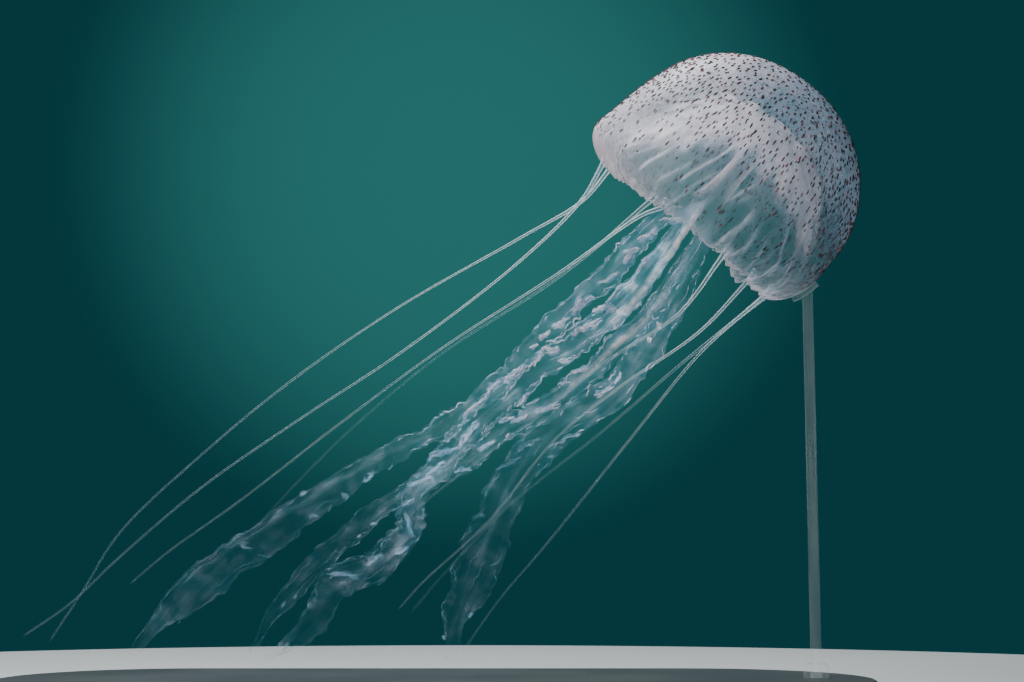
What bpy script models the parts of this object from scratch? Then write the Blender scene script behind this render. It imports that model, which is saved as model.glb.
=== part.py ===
"""A mauve stinger jellyfish (Pelagia noctiluca), life size, swimming, on a plain display stand.

Metres, +Z up. The origin is the centre of the base's underside, which is the lowest face.
The animal leans towards +X and its bell tips towards -Y, so its four oral arms and eight
tentacles trail down towards -X. Lengths below are in millimetres and are multiplied by MM.
"""

import math

import bmesh
import bpy
from mathutils import Euler, Matrix, Vector

MM = 0.001
GAP = 0.3  # clearance between neighbouring pieces

# Bell frame: local +Z is the way the animal swims, from the margin to the crown.
BELL_PLACE = (98.0, 0.0, 180.0)
BELL_LEAN = math.radians(38.0)
BELL_TIP = math.radians(12.5)

# Bell: a superellipse crown over a margin that curls inwards, and an elliptic vault inside.
BELL_RADIUS = 51.4
CROWN_HEIGHT = 55.5
CROWN_POWER = 2.15
WAIST_Z = 12.0  # level of the widest ring, where the crown meets the margin
CURL_DEPTH = 13.6
CURL_IN = 12.9
VAULT_RADIUS = 47.6
VAULT_HEIGHT = 46.4
VAULT_Z = 2.0
# The pulse isn't even: one side flares at the margin, and the side that leads is drawn in.
# Each is a change of radius, the level where it is strongest, and how far it spreads.
FLARE = (3.2, 4.0, 9.0)
HOLLOW_FLANK = (-1.2, 33.0, 14.0)
DRAWN_IN = (-2.6, 8.0, 18.0)
HANG = 2.6  # how much lower the margin hangs on the drawn-in side
MARGIN_EDGE = 1.0  # thickness of the lappets' free edge
LAPPETS = 16
NOTCH_CURL = math.radians(68.0)
LAPPET_CURL = math.radians(95.0)
LAPPET_DROP = 1.7  # how much lower a lappet hangs than the curl alone would take it
COLUMNS_PER_LAPPET = 5
CROWN_ROWS = 10
VAULT_ROWS = 8
CROWN_COLUMNS = 40
MARGIN_ROWS = 4

# Manubrium: the four-lobed stalk that hangs from the vault and carries the oral arms.
MANUBRIUM_TOP = 47.5
MANUBRIUM_END = 8.6
MANUBRIUM_RADII = [7.6, 7.0, 6.4, 6.2, 6.6, 7.4, 8.2]  # evenly spread from its top to its end
MANUBRIUM_LOBE = 0.09  # how far its four lobes stand out, as a share of its radius
MANUBRIUM_COLUMNS = 16

# Oral arms: a stout midrib between two thin, waved wings.
ARM_SEAT = 4.0  # each arm starts this far from the manubrium's axis both ways
ARM_START_Z = MANUBRIUM_END - GAP
ARM_LEAD = 5.0  # the arm leaves its seat straight, along the bell's axis, for this far
ARM_STATIONS = 48
LINE_POINTS = 160  # on the smooth midline of an arm or tentacle
RIB_HALF_WIDTH = 1.5
RIB_HALF_DEPTH = 1.6
WING_HALF_DEPTH = 0.5
WAVE_LENGTH = 21.0
WAVE_HEIGHT = 1.8
LOWER_WAVE_RATE = 0.87  # the lower wing's wave is a little longer, and out of step
LOWER_WAVE_STEP = 2.0
TWIST = math.radians(24.0)  # how far the wings roll to and fro about the midrib
TWIST_TURNS = 1.6  # rolls to and fro from root to tip

# Tentacles: round, tapering, one in each of eight notches between lappets.
TENTACLE_RADIUS = 0.85
TENTACLE_TIP_RADIUS = 0.4
TENTACLE_ROOT_RADIUS = 42.3
TENTACLE_ROOT_CLEAR = 1.4  # below the notch's edge
TENTACLE_STATIONS = 30
LENGTHS = 3  # every arm and tentacle is parted into this many lengths

# Stand
BASE_LENGTH = 324.0
BASE_WIDTH = 130.0
BASE_HEIGHT = 10.0
BASE_CHAMFER = 1.2
ROD_RADIUS = 2.0
COLLAR_WALL = 2.5
COLLAR_HEIGHT = 5.0
COLLAR_CHAMFER = 1.0
ROUND_SIDES = 20
SADDLE_THICKNESS = 2.0
SADDLE_CURLS = (math.radians(6.0), math.radians(44.0))
SADDLE_HALF_TURN = math.radians(9.0)
SADDLE_ROWS = 5
SADDLE_COLUMNS = 7

# Oral arms: seat on the manubrium (signs along the bell's X and Y), the places the arm
# passes through, and the reach of its two wings at evenly spread stations from root to tip.
ARMS = {
    "front": {
        "seat": (-1, -1),
        "route": [(78, -3, 158), (61, -1, 141), (37, 0, 124), (16, 1, 106),
                  (1, 1, 89), (-9, 2, 77), (-12, 2, 62), (-22, 2, 52), (-38, 2, 44),
                  (-45, 2, 32), (-56, 3, 21), (-65, 3, 16)],
        "upper_wing": [2.6, 4.8, 4.4, 4.2, 4.4, 5.0, 3.0],
        "lower_wing": [2.6, 3.4, 4.4, 4.4, 5.0, 5.6, 3.0],
        "phase": 1.26,
    },
    "right": {
        "seat": (1, -1),
        "route": [(92, 0, 163), (82, 3, 148), (65, 6, 132), (44, 9, 113),
                  (25, 11, 103), (12, 12, 92), (-18, 13, 75), (-39, 14, 58), (-59, 15, 37),
                  (-67, 15, 25), (-71, 15, 18)],
        "upper_wing": [2.4, 3.0, 3.4, 3.4, 3.8, 4.5, 2.4],
        "lower_wing": [2.4, 3.8, 4.0, 3.8, 3.4, 3.2, 2.2],
        "phase": 1.7,
    },
    "left": {
        "seat": (-1, 1),
        "route": [(85, 5, 185), (62, 11, 165), (39, 15, 144), (20, 17, 123),
                  (-2, 19, 105), (-25, 20, 92), (-54, 21, 75), (-77, 22, 60), (-92, 22, 50),
                  (-100, 22, 42), (-111, 23, 28), (-118, 23, 17)],
        "upper_wing": [2.6, 3.4, 3.4, 3.2, 2.6, 2.2, 2.0, 1.8],
        "lower_wing": [2.6, 4.2, 4.6, 4.8, 5.0, 9.0, 12.0, 4.0],
        "phase": 3.1,
    },
    "back": {
        "seat": (1, 1),
        "route": [(91, 11, 153), (74, 15, 126), (62, 16, 114), (41, 17, 100),
                  (29, 17, 86), (20, 18, 65), (11, 18, 42), (6, 18, 28), (4, 18, 15)],
        "upper_wing": [2.6, 5.0, 5.6, 6.0, 7.0, 7.6, 4.0],
        "lower_wing": [2.6, 5.0, 6.0, 6.4, 7.4, 7.6, 4.0],
        "phase": 4.4,
    },
}

# Tentacles: the notch each grows from, counted in degrees round the bell from its local X,
# and the places it passes through. The other eight notches hold the sense organs.
TENTACLES = {
    "1": (157.5, [(56, 20, 194), (32, 23, 180), (-16, 27, 153), (-58, 28, 124),
                  (-94, 29, 94), (-125, 30, 64), (-139, 30, 41), (-151, 30, 22)]),
    "2": (202.5, [(54, -12, 187), (31, -6, 165), (-14, 0, 131), (-52, 2, 106),
                  (-89, 3, 80), (-119, 3, 54), (-137, 4, 37), (-154, 4, 25)]),
    "3": (112.5, [(80, 41, 192), (47, 43, 169), (-1, 45, 138), (-45, 45, 105),
                  (-81, 46, 77), (-110, 46, 56), (-124, 46, 44)]),
    "4": (247.5, [(46, -20, 157), (1, -8, 129), (-33, -3, 101), (-55, -1, 79),
                  (-70, 0, 62)]),
    "5": (292.5, [(88, -33, 141), (63, -27, 125), (35, -23, 103), (16, -22, 89),
                  (-12, -20, 66), (-28, -19, 42)]),
    "6": (45.0, [(103, 36, 144), (71, 39, 122), (45, 41, 101), (19, 42, 69),
                 (-8, 43, 44), (-17, 43, 34)]),
    "7": (337.5, [(94, -12, 128), (61, -11, 100), (27, -10, 73), (3, -10, 48),
                  (-9, -10, 34)]),
    "8": (22.5, [(102, 22, 134), (74, 26, 100), (41, 28, 59), (23, 29, 38), (6, 29, 14)]),
}


def clear_scene():
    for old in list(bpy.data.objects):
        bpy.data.objects.remove(old, do_unlink=True)


def principled(name, colour, roughness, alpha=1.0):
    material = bpy.data.materials.new(name)
    material.use_nodes = True
    shader = material.node_tree.nodes["Principled BSDF"]
    shader.inputs["Base Color"].default_value = (*colour, 1.0)
    shader.inputs["Roughness"].default_value = roughness
    shader.inputs["Alpha"].default_value = alpha
    return material


def bell_matrix():
    turn = Euler((BELL_TIP, BELL_LEAN, 0.0), "XYZ").to_matrix().to_4x4()
    return Matrix.Translation(Vector(BELL_PLACE) * MM) @ turn


def from_bell(x, y, z):
    """A place in the bell's own frame, in millimetres, as a world place in metres."""
    return bell_matrix() @ (Vector((x, y, z)) * MM)


def skin(name, rings, material, looped=False, parent=None):
    """A closed body through rings of points. A ring of one point is a pole, and the first
    and last rings are filled, unless the rings run round in a loop."""
    mesh = bmesh.new()
    levels = [[mesh.verts.new(point) for point in ring] for ring in rings]
    pairs = list(zip(levels, levels[1:]))
    if looped:
        pairs.append((levels[-1], levels[0]))
    for lower, upper in pairs:
        count = max(len(lower), len(upper))
        for i in range(count):
            j = (i + 1) % count
            corners = []
            for vert in (lower[i % len(lower)], lower[j % len(lower)],
                         upper[j % len(upper)], upper[i % len(upper)]):
                if vert not in corners:
                    corners.append(vert)
            mesh.faces.new(corners)
    if not looped:
        for level in (levels[0], levels[-1]):
            if len(level) > 1:
                mesh.faces.new(level)
    bmesh.ops.recalc_face_normals(mesh, faces=mesh.faces)
    data = bpy.data.meshes.new(name)
    mesh.to_mesh(data)
    mesh.free()
    data.materials.append(material)
    data.shade_smooth()
    data.set_sharp_from_angle(angle=math.radians(50.0))
    body = bpy.data.objects.new(name, data)
    bpy.context.collection.objects.link(body)
    body.parent = parent
    return body


def ring_at(radius, z, columns):
    return [Vector((radius * math.cos(math.tau * i / columns),
                    radius * math.sin(math.tau * i / columns), z)) * MM
            for i in range(columns)]


def local_change(change, z):
    amount, level, spread = change
    return amount * math.exp(-((z - level) / spread) ** 2)


def bell_point(radius, azimuth, z):
    """A place on the bell, with the unevenness of its pulse added to the even radius."""
    lead = math.cos(azimuth)
    if lead > 0.0:
        radius += local_change(DRAWN_IN, z) * lead
    else:
        radius -= (local_change(FLARE, z) + local_change(HOLLOW_FLANK, z)) * lead
    return Vector((radius * math.cos(azimuth), radius * math.sin(azimuth), z)) * MM


def bell_ring(radius, z):
    return [bell_point(radius, math.tau * i / CROWN_COLUMNS, z) for i in range(CROWN_COLUMNS)]


def smooth_route(points, count):
    """Points evenly spaced on a centripetal Catmull-Rom curve through the given ones."""
    ends = [points[0] * 2 - points[1]] + points + [points[-1] * 2 - points[-2]]
    knots = [0.0]
    for a, b in zip(ends, ends[1:]):
        knots.append(knots[-1] + math.sqrt((b - a).length))
    dense = []
    steps = 12
    for i in range(1, len(ends) - 2):
        span = knots[i + 1] - knots[i]
        slope_in = velocity(ends, knots, i) * span
        slope_out = velocity(ends, knots, i + 1) * span
        for k in range(steps):
            t = k / steps
            dense.append(ends[i] * (2 * t**3 - 3 * t**2 + 1) + slope_in * (t**3 - 2 * t**2 + t)
                         + ends[i + 1] * (3 * t**2 - 2 * t**3) + slope_out * (t**3 - t**2))
    dense.append(points[-1].copy())
    return respaced(dense, count)


def velocity(points, knots, i):
    """How fast a Catmull-Rom curve passes point i, for each unit of its knot value."""
    before = (points[i] - points[i - 1]) / (knots[i] - knots[i - 1])
    after = (points[i + 1] - points[i]) / (knots[i + 1] - knots[i])
    whole = (points[i + 1] - points[i - 1]) / (knots[i + 1] - knots[i - 1])
    return before + after - whole


def run_lengths(points):
    lengths = [0.0]
    for a, b in zip(points, points[1:]):
        lengths.append(lengths[-1] + (b - a).length)
    return lengths


def point_along(points, lengths, distance):
    for i in range(1, len(points)):
        if distance <= lengths[i] or i == len(points) - 1:
            share = (distance - lengths[i - 1]) / (lengths[i] - lengths[i - 1])
            return points[i - 1].lerp(points[i], min(max(share, 0.0), 1.0))
    return points[-1].copy()


def respaced(points, count):
    lengths = run_lengths(points)
    return [point_along(points, lengths, lengths[-1] * i / (count - 1)) for i in range(count)]


def blended(values, share):
    """The value at a share from 0 to 1 along an evenly spread list."""
    place = min(max(share, 0.0), 1.0) * (len(values) - 1)
    i = min(int(place), len(values) - 2)
    return values[i] + (values[i + 1] - values[i]) * (place - i)


def length_spans(total):
    """Start and end distances of the lengths that a long part is divided into."""
    step = total / LENGTHS
    for i in range(LENGTHS):
        start = i * step + (GAP * MM / 2 if i else 0.0)
        end = (i + 1) * step - (GAP * MM / 2 if i < LENGTHS - 1 else 0.0)
        yield i + 1, start, end


def crown_rings():
    """Rings from the crown's top down to the waist, over the outside of the bell."""
    rings = [[Vector((0.0, 0.0, WAIST_Z + CROWN_HEIGHT)) * MM]]
    power = 2.0 / CROWN_POWER
    for row in range(1, CROWN_ROWS + 1):
        turn = math.radians(90.0) * row / CROWN_ROWS
        z = WAIST_Z + CROWN_HEIGHT * max(math.cos(turn), 0.0) ** power
        if row == CROWN_ROWS:
            z = WAIST_Z + GAP / 2
        rings.append(bell_ring(BELL_RADIUS * math.sin(turn) ** power, z))
    return rings


def vault_rings():
    """Rings from the waist up to the top of the hollow, over the inside of the bell."""
    rings = []
    start = math.asin((WAIST_Z - VAULT_Z) / VAULT_HEIGHT)
    for row in range(VAULT_ROWS):
        turn = start + (math.radians(90.0) - start) * row / VAULT_ROWS
        z = VAULT_Z + VAULT_HEIGHT * math.sin(turn) + (0.0 if row else GAP / 2)
        rings.append(bell_ring(VAULT_RADIUS * math.cos(turn), z))
    rings.append([Vector((0.0, 0.0, VAULT_Z + VAULT_HEIGHT)) * MM])
    return rings


def curl_depth(azimuth):
    return CURL_DEPTH + HANG * max(math.cos(azimuth), 0.0) ** 2


def margin_point(curl, azimuth, proud=0.0):
    """A place on the margin's outer face, or proud of it by a distance along its normal."""
    depth = curl_depth(azimuth)
    radius = BELL_RADIUS - CURL_IN * (1.0 - math.cos(curl))
    z = WAIST_Z - depth * math.sin(curl)
    normal = Vector((math.cos(curl) / CURL_IN, -math.sin(curl) / depth)).normalized()
    radius += normal.x * proud
    z += normal.y * proud
    return bell_point(radius, azimuth, z)


def margin_rings():
    """Rings down the outside of the margin and back up its inside; the free edge is
    scalloped into the lappets."""
    columns = LAPPETS * COLUMNS_PER_LAPPET
    wall = BELL_RADIUS - VAULT_RADIUS * math.sqrt(1 - ((WAIST_Z - VAULT_Z) / VAULT_HEIGHT) ** 2)
    outer = []
    inner = []
    for row in range(MARGIN_ROWS):
        share = row / (MARGIN_ROWS - 1)
        outside = []
        inside = []
        for column in range(columns):
            azimuth = math.tau * column / columns
            across = 2.0 * (column % COLUMNS_PER_LAPPET) / COLUMNS_PER_LAPPET - 1.0
            bulge = math.sqrt(1.0 - across * across)
            edge = NOTCH_CURL + (LAPPET_CURL - NOTCH_CURL) * bulge
            curl = math.radians(1.0) + (edge - math.radians(1.0)) * share
            depth = wall + (MARGIN_EDGE - wall) * math.sin(math.radians(90.0) * share)
            drop = Vector((0.0, 0.0, -LAPPET_DROP * bulge * share * share)) * MM
            outside.append(margin_point(curl, azimuth) + drop)
            inside.append(margin_point(curl, azimuth, -depth) + drop)
        outer.append(outside)
        inner.append(inside)
    return outer + inner[::-1]


def make_bell(frame, material):
    skin("bell_crown", crown_rings() + vault_rings(), material, parent=frame)
    skin("bell_margin", margin_rings(), material, looped=True, parent=frame)


def make_manubrium(frame, material):
    rings = []
    for row, middle_radius in enumerate(MANUBRIUM_RADII):
        share = row / (len(MANUBRIUM_RADII) - 1)
        z = MANUBRIUM_TOP + (MANUBRIUM_END - MANUBRIUM_TOP) * share
        ring = []
        for column in range(MANUBRIUM_COLUMNS):
            turn = math.tau * column / MANUBRIUM_COLUMNS
            radius = middle_radius * (1.0 - MANUBRIUM_LOBE * math.cos(4.0 * turn))
            ring.append(Vector((radius * math.cos(turn), radius * math.sin(turn), z)) * MM)
        rings.append(ring)
    skin("manubrium", rings, material, parent=frame)


def arm_line(arm):
    """The arm's midline, from its seat under the manubrium to its tip."""
    side, depth = arm["seat"]
    seat = from_bell(side * ARM_SEAT, depth * ARM_SEAT, ARM_START_Z)
    lead = from_bell(side * ARM_SEAT, depth * ARM_SEAT, ARM_START_Z - ARM_LEAD)
    return smooth_route([seat, lead] + [Vector(place) * MM for place in arm["route"]], LINE_POINTS)


def arm_axes(arm, line, lengths, distance):
    """Midpoint, width direction and depth direction at a distance from the root."""
    step = 0.5 * MM
    total = lengths[-1]
    middle = point_along(line, lengths, distance)
    ahead = point_along(line, lengths, min(distance + step, total))
    behind = point_along(line, lengths, max(distance - step, 0.0))
    along = (ahead - behind).normalized()
    level = along.cross(Vector((0.0, 1.0, 0.0))).normalized()
    share = distance / total
    roll = TWIST * min(1.0, 5.0 * share) * math.sin(math.tau * TWIST_TURNS * share + arm["phase"])
    across = Matrix.Rotation(roll, 3, along) @ level
    return middle, across, across.cross(along)


def arm_ring(arm, line, lengths, distance):
    middle, across, deep = arm_axes(arm, line, lengths, distance)
    share = distance / lengths[-1]
    upper = blended(arm["upper_wing"], share)
    lower = blended(arm["lower_wing"], share)
    height = WAVE_HEIGHT * min(1.0, 0.2 + 6.0 * share)
    turn = math.tau * distance / (WAVE_LENGTH * MM) + arm["phase"]
    upper_wave = height * math.sin(turn)
    lower_wave = height * math.sin(turn * LOWER_WAVE_RATE + LOWER_WAVE_STEP)
    corners = [(-upper, upper_wave + WING_HALF_DEPTH), (-RIB_HALF_WIDTH, RIB_HALF_DEPTH),
               (RIB_HALF_WIDTH, RIB_HALF_DEPTH), (lower, lower_wave + WING_HALF_DEPTH),
               (lower, lower_wave - WING_HALF_DEPTH), (RIB_HALF_WIDTH, -RIB_HALF_DEPTH),
               (-RIB_HALF_WIDTH, -RIB_HALF_DEPTH), (-upper, upper_wave - WING_HALF_DEPTH)]
    return [middle + (across * w + deep * d) * MM for w, d in corners]


def make_arms(material):
    for name, arm in ARMS.items():
        line = arm_line(arm)
        lengths = run_lengths(line)
        stations = ARM_STATIONS // LENGTHS
        for number, start, end in length_spans(lengths[-1]):
            rings = []
            for i in range(stations):
                distance = start + (end - start) * i / (stations - 1)
                rings.append(arm_ring(arm, line, lengths, distance))
            skin(f"oral_arm_{name}_{number}", rings, material)


def tentacle_line(azimuth_degrees, route):
    azimuth = math.radians(azimuth_degrees)
    notch_z = WAIST_Z - curl_depth(azimuth) * math.sin(NOTCH_CURL)
    root_z = notch_z - TENTACLE_ROOT_CLEAR
    root = bell_matrix() @ bell_point(TENTACLE_ROOT_RADIUS, azimuth, root_z)
    return smooth_route([root] + [Vector(place) * MM for place in route], LINE_POINTS)


def tube(name, points, radii, material):
    """A round bar along the points, with a radius at each and both ends filled."""
    curve = bpy.data.curves.new(name, "CURVE")
    curve.dimensions = "3D"
    curve.bevel_depth = max(radii)
    curve.bevel_resolution = 1
    curve.use_fill_caps = True
    spline = curve.splines.new("POLY")
    spline.points.add(len(points) - 1)
    for i, (place, radius) in enumerate(zip(points, radii)):
        spline.points[i].co = (*place, 1.0)
        spline.points[i].radius = radius / max(radii)
    curve.materials.append(material)
    body = bpy.data.objects.new(name, curve)
    bpy.context.collection.objects.link(body)
    return body


def make_tentacles(material):
    for name, (azimuth, route) in TENTACLES.items():
        line = tentacle_line(azimuth, route)
        lengths = run_lengths(line)
        total = lengths[-1]
        stations = TENTACLE_STATIONS // LENGTHS
        for number, start, end in length_spans(total):
            distances = [start + (end - start) * i / (stations - 1) for i in range(stations)]
            points = [point_along(line, lengths, distance) for distance in distances]
            radii = [(TENTACLE_RADIUS + (TENTACLE_TIP_RADIUS - TENTACLE_RADIUS) * d / total) * MM
                     for d in distances]
            tube(f"tentacle_{name}_{number}", points, radii, material)


def make_base(material):
    """A flat plate with half-round ends and chamfered edges."""
    straight = (BASE_LENGTH - BASE_WIDTH) / 2
    rings = []
    for inset, z in ((BASE_CHAMFER / 2, 0.0), (0.0, BASE_CHAMFER / 2),
                     (0.0, BASE_HEIGHT - BASE_CHAMFER), (BASE_CHAMFER, BASE_HEIGHT)):
        ring = []
        for side in (1, -1):
            for i in range(ROUND_SIDES + 1):
                turn = side * math.radians(90.0) - math.pi * i / ROUND_SIDES
                radius = BASE_WIDTH / 2 - inset
                ring.append(Vector((side * straight + radius * math.cos(turn),
                                    radius * math.sin(turn), z)) * MM)
        rings.append(ring)
    skin("stand_base", rings, material)


def make_rod(foot, top_point, top_normal, material):
    """An upright rod from the base to a slanted cut through top_point."""
    rings = []
    for end in (0, 1):
        ring = []
        for place in ring_at(ROD_RADIUS, 0.0, ROUND_SIDES):
            x = foot[0] + place.x
            y = foot[1] + place.y
            z = (BASE_HEIGHT + GAP) * MM
            if end:
                slope = top_normal.x * (x - top_point.x) + top_normal.y * (y - top_point.y)
                z = top_point.z - slope / top_normal.z
            ring.append(Vector((x, y, z)))
        rings.append(ring)
    skin("stand_rod", rings, material)


def make_collar(foot, material):
    """A turned ring round the rod's foot."""
    bottom = BASE_HEIGHT + GAP
    inner = ROD_RADIUS + GAP
    outer = inner + COLLAR_WALL
    top = bottom + COLLAR_HEIGHT
    profile = [(inner, bottom), (outer, bottom), (outer, top - COLLAR_CHAMFER),
               (outer - COLLAR_CHAMFER, top), (inner, top)]
    rings = []
    for ring_radius, z in profile:
        ring = ring_at(ring_radius, z, ROUND_SIDES)
        rings.append([place + Vector((foot[0], foot[1], 0.0)) for place in ring])
    skin("stand_collar", rings, material, looped=True)


def make_bell_support(frame, material):
    """A curved saddle under the bell's lower flank, on an upright rod."""
    azimuths = [SADDLE_HALF_TURN * (2 * i / (SADDLE_COLUMNS - 1) - 1)
                for i in range(SADDLE_COLUMNS)]
    rings = []
    for row in range(SADDLE_ROWS):
        curl = SADDLE_CURLS[0] + (SADDLE_CURLS[1] - SADDLE_CURLS[0]) * row / (SADDLE_ROWS - 1)
        inside = [margin_point(curl, azimuth, GAP) for azimuth in azimuths]
        outside = [margin_point(curl, azimuth, GAP + SADDLE_THICKNESS) for azimuth in azimuths]
        rings.append(inside + outside[::-1])
    skin("stand_saddle", rings, material, parent=frame)
    middle = (SADDLE_CURLS[0] + SADDLE_CURLS[1]) / 2
    under = bell_matrix() @ margin_point(middle, 0.0, 2 * GAP + SADDLE_THICKNESS)
    above = bell_matrix() @ margin_point(middle, 0.0)
    foot = (under.x, under.y)
    make_rod(foot, under, above - under, material)
    make_collar(foot, material)


def main():
    clear_scene()
    jelly = principled("bell_jelly", (0.80, 0.72, 0.76), 0.25, alpha=0.6)
    frills = principled("arm_jelly", (0.86, 0.80, 0.80), 0.3, alpha=0.6)
    threads = principled("tentacle_jelly", (0.80, 0.78, 0.82), 0.2, alpha=0.7)
    acrylic = principled("clear_acrylic", (0.92, 0.96, 0.96), 0.05, alpha=0.3)
    plinth = principled("plinth", (0.05, 0.06, 0.065), 0.45)
    frame = bpy.data.objects.new("bell_frame", None)
    bpy.context.collection.objects.link(frame)
    frame.matrix_world = bell_matrix()
    make_bell(frame, jelly)
    make_manubrium(frame, frills)
    make_arms(frills)
    make_tentacles(threads)
    make_base(plinth)
    make_bell_support(frame, acrylic)


main()
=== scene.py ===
"""The looks of a life-size mauve stinger jellyfish (Pelagia noctiluca) on its display stand.

The bell is one closed skin of clear jelly, with its hollow, its folded milky lining and the
stalk inside. The warts, each oral arm with its frills and each tentacle are pieces of their
own. The animal's lengths are in millimetres, as in the solids' design, and turn into metres
where a mesh is made.
"""

import itertools
import math

import bmesh
import bpy
import numpy as np
from mathutils import Euler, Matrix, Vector


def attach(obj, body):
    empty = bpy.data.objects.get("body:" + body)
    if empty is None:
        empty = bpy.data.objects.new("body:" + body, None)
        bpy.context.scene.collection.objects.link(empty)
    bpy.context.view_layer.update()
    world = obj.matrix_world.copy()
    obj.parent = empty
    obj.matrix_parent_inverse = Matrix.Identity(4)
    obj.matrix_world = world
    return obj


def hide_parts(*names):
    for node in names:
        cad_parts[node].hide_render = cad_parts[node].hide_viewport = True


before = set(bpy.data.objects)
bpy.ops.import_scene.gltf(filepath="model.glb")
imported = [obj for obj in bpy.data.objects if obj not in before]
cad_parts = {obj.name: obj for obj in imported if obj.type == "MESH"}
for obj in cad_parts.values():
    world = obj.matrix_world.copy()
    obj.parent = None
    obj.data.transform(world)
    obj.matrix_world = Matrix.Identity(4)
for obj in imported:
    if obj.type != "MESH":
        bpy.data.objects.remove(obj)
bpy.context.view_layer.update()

MM = 0.001
BODY = "root"

# The bell's own frame and its measures, as the solids have them. Local +Z is the crown.
BELL_PLACE = np.array([98, 0, 180])
BELL_LEAN = math.radians(38)
BELL_TIP = math.radians(12.5)
BELL_ANGLES = (BELL_TIP, BELL_LEAN, 0)
BELL_TURN = np.array(Euler(BELL_ANGLES, "XYZ").to_matrix())
BELL_RADIUS = 51.4
CROWN_HEIGHT = 55.5
CROWN_POWER = 2.15
WAIST_Z = 12
CURL_DEPTH = 13.6
CURL_IN = 12.9
VAULT_RADIUS = 47.6
VAULT_HEIGHT = 46.4
VAULT_Z = 2
# Changes of the radius: by how much, at what level and over what height
FLARE = (3.2, 4, 9)
HOLLOW_FLANK = (-1.2, 33, 14)
DRAWN_IN = (-2.6, 8, 18)
HANG = 2.6
LAPPETS = 16
LAPPET_SEED = 5
NOTCH_CURL = math.radians(68)
LAPPET_CURL = math.radians(95)
LAPPET_DROP = 1.7
LOBE_DROP = 0.8  # of the small lobes along each lappet
FLUTTER = 0.5
EDGE_THICKNESS = 0.55  # of the lappets' free edge
FLAP = (math.radians(311), math.radians(4), 3.4)  # one longer lappet: place, width, drop
MANUBRIUM_TOP = 47.5
MANUBRIUM_END = 8.6
MANUBRIUM_RADII = [7.6, 7, 6.4, 6.2, 6.6, 7.4, 8.2]

# Fineness of the bell's skin
COLUMNS_PER_LAPPET = 28
CROWN_ROWS = 60
CROWN_FIRST_ROW = 1.6  # how far down the crown it lies, where the waist is 90
MARGIN_ROWS = 24
VAULT_ROWS = 52
ROOF_RADIUS = 14  # where the hollow's roof starts to turn down into the stalk
ROOF_BEND = 6  # how far down that turn reaches
ROOF_ROWS = 10
STALK_ROWS = 26

# Folds of the bell's lining on its front: azimuth at level 0 and how it shifts for each
# millimetre upwards (degrees), the levels of its two ends, and its strength.
FRONT_FOLDS = [
    (218.7, 0.63, 1, 18, 0.6), (226, 0.5, 4, 20, 0.4), (235, 0.29, 3, 21, 0.8), (246, 0.34, 4, 21, 0.5),
    (251.5, 0.33, 10, 34, 1), (256, 0.47, -2, 23, 0.5), (265, 0.4, 5, 15, 0.35),
    (266.7, 0.69, 13, 32, 0.7), (273, 0.5, 14, 26, 0.4), (286, 0.15, -3, 20, 0.8),
    (295, 0.11, -3, 17, 0.6), (294, 0.67, 9, 19, 0.4), (307, 0.3, 2, 14, 0.35), (316, 0.1, -5, 11, 0.8),
    (322, 0.1, 6, 18, 0.4), (328.4, -0.25, -1, 16, 0.8), (346, -0.73, 0, 11, 0.5)]
FRONT = (214, 350)  # azimuths between which the other folds stay away
OTHER_FOLDS = 30
FOLD_SEED = 11

# Relief of the lining: the lift of its roof, how far its folds stand into the hollow, and
# the seed, size and height of its large and small lumps
ROOF_LIFT = 3
FOLD_HEIGHT = 0.7
LUMPS = [(31, 8, 0.55), (32, 3.6, 0.3)]

# Level below which the lining is clear, every 30 degrees round from azimuth 0
CLEAR_BELOW = [14, 24, 32, 34, 28, 8, -4, 6, 21, 30, 29, 16, 14]

# Warts. Each pair is a measure on the crown, and how much is added to it down the flanks,
# where the warts are drawn out into dashes.
WART_SPACING = (3.3, -0.85)
WART_HALF_WIDTH = (0.52, -0.27)
WART_HALF_LENGTH = (0.52, 0.24)
WART_SCALE = (0.7, 1.5)  # the smallest and the largest, as shares of the width and length
WART_SEED = 23
WART_CORNERS = 10
WART_RINGS = ((1, -0.08), (0.75, 0.2), (0.35, 0.34))  # reach and height of each
FIRST_WARTS = 1.3  # distance of the first ones from the crown's top
LAST_WART_CURL = 62  # how far round the margin they go, in degrees

# Oral arms
ARM_SEED = 1000
ARM_SEED_STEP = 200
ARM_SEAT = 4
ARM_START_Z = MANUBRIUM_END - 0.3
ARM_LEAD = 5
WAVE_LENGTH = 21
WAVE_HEIGHT = 1.8
LOWER_WAVE_RATE = 0.87
LOWER_WAVE_STEP = 2
TWIST = math.radians(24)
TWIST_TURNS = 1.6
LINE_POINTS = 160
SPAN_POINTS = 12  # between two points of a route
ARM_STEP = 0.52  # between the rings of an arm's mesh
ARM_COLUMNS = 34  # from one edge of the wings to the other
FRILL_COLUMNS = 9
CREASES = 16  # along each arm's wings
CREASE_HALF = 0.13
LOBE_LENGTH = 5.2  # of one scallop of an arm's lip
LUMP_SWELL = 1.1  # of the lip's lumps over their listed half thickness
FOLDS_PER_LUMP = 3
LUMP_GLOW = 0.6
FOLD_GLOW = 1.2
CURL_GLOW = 0.9
CREASE_GLOW = 0.7
FOLD_REACH = 1.2  # how far out from the midrib folds may lie, where 1 is the wing's edge
FOLD_STEP = 0.36  # between the rings of a fold's mesh
FOLD_DEPTH = 0.35  # as a share of its width

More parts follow.
